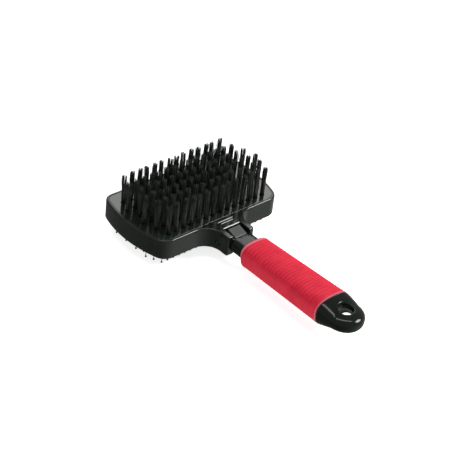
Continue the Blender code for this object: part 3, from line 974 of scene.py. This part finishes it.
def make_floor():
    """Plain white floor. It glows a little, so that the shadow stays faint."""
    bm = bmesh.new()
    bmesh.ops.create_grid(bm, x_segments=2, y_segments=2, size=6.0)
    mesh = bpy.data.meshes.new("floor")
    bm.to_mesh(mesh)
    bm.free()
    n = Nodes("floor_white")
    n.link(n.ramp(n.noise(n.coords, 3.0), [(0.3, (0.80, 0.80, 0.80)), (0.7, (0.82, 0.82, 0.82))]),
           n.shader.inputs["Base Color"])
    n.shader.inputs["Roughness"].default_value = 0.9
    n.shader.inputs["Specular IOR Level"].default_value = 0.1
    n.shader.inputs["Emission Color"].default_value = (1.0, 1.0, 1.0, 1.0)
    n.shader.inputs["Emission Strength"].default_value = FLOOR_GLOW
    mesh.materials.append(n.mat)
    floor = bpy.data.objects.new("floor", mesh)
    floor.location = (0.0, 0.0, -0.0004)
    bpy.context.scene.collection.objects.link(floor)
    floor.visible_glossy = False


def area_light(name, at, towards, size, power):
    data = bpy.data.lights.new(name, "AREA")
    data.shape = "RECTANGLE"
    data.size, data.size_y = size
    data.energy = power
    ob = bpy.data.objects.new(name, data)
    ob.location = at
    ob.rotation_euler = (Vector(towards) - Vector(at)).to_track_quat("-Z", "Y").to_euler()
    ob.visible_camera = False
    bpy.context.scene.collection.objects.link(ob)
    return ob


def make_world():
    """Soft grey sky. Below the horizon it is dim, and lighter towards the front right."""
    world = bpy.data.worlds.new("studio")
    world.use_nodes = True
    tree = world.node_tree
    link, new = tree.links.new, tree.nodes.new
    coords = new("ShaderNodeTexCoord").outputs["Generated"]

    def along(direction, low, high, to_low, to_high):
        dot = new("ShaderNodeVectorMath")
        dot.operation = "DOT_PRODUCT"
        dot.inputs[1].default_value = direction
        link(coords, dot.inputs[0])
        span = new("ShaderNodeMapRange")
        span.interpolation_type = "SMOOTHSTEP"
        for key, value in (("From Min", low), ("From Max", high), ("To Min", to_low), ("To Max", to_high)):
            span.inputs[key].default_value = value
        link(dot.outputs["Value"], span.inputs["Value"])
        return span.outputs["Result"]

    below = along((0.8, -0.45, 0.0), -0.7, 0.85, WORLD_LOW_LEFT, WORLD_LOW_RIGHT)
    mix = new("ShaderNodeMix")
    mix.data_type = "FLOAT"
    mix.inputs["B"].default_value = WORLD_SKY
    link(along((0.0, 0.0, 1.0), -0.12, 0.10, 0.0, 1.0), mix.inputs["Factor"])
    link(below, mix.inputs["A"])
    link(mix.outputs["Result"], tree.nodes["Background"].inputs["Strength"])
    tree.nodes["Background"].inputs["Color"].default_value = (1.0, 1.0, 1.0, 1.0)
    bpy.context.scene.world = world


def make_lights():
    """A soft box behind the brush, mirrored in its flat top, a key light at the front right, and a strip
    overhead that runs along the near side of the end cap."""
    area_light("back_soft", (0.80, 0.80, 0.80), (0, 0, 0.03), (0.9, 0.52), 4.0)
    area_light("key_soft", (0.74, -0.66, 0.80), (0, -0.02, 0.0), (0.42, 0.42), 13.0)
    strip = area_light("top_strip", (-0.03, -0.08, 1.15), (0, -0.08, 0.0), (1.0, 0.14), 3.6)
    strip.rotation_euler = (0, 0, -pi / 4)


def make_camera():
    """The main view: angles in degrees and distances in metres, from the middle of the head's front edge."""
    azimuth, elevation, roll = (a * pi / 180 for a in (CAMERA_AZIMUTH, CAMERA_ELEVATION, CAMERA_ROLL))
    back = Vector((sin(azimuth) * cos(elevation), -cos(azimuth) * cos(elevation), sin(elevation)))
    side = Vector((cos(azimuth), sin(azimuth), 0.0))
    over = back.cross(side)
    right = cos(roll) * side + sin(roll) * over
    up = -sin(roll) * side + cos(roll) * over
    data = bpy.data.cameras.new("camera")
    data.sensor_width = 36.0
    data.lens = CAMERA_LENS
    data.clip_start = 0.02
    camera = bpy.data.objects.new("camera", data)
    at = place(0, 0, 0) - right * CAMERA_ACROSS - up * CAMERA_ALONG + back * CAMERA_DISTANCE
    camera.matrix_world = Matrix((
        (right.x, up.x, back.x, at.x), (right.y, up.y, back.y, at.y),
        (right.z, up.z, back.z, at.z), (0, 0, 0, 1)))
    bpy.context.scene.collection.objects.link(camera)
    bpy.context.scene.camera = camera


make_housing()
make_plate()
make_tufts()
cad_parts["pin_backing_plate"].data.materials.clear()
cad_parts["pin_backing_plate"].data.materials.append(BACKING)
make_cushion()
make_pins()
make_catch_pin()
make_latch()
make_handle()
make_grip()
make_floor()
make_world()
make_lights()
make_camera()
bpy.context.scene.view_settings.view_transform = "Standard"
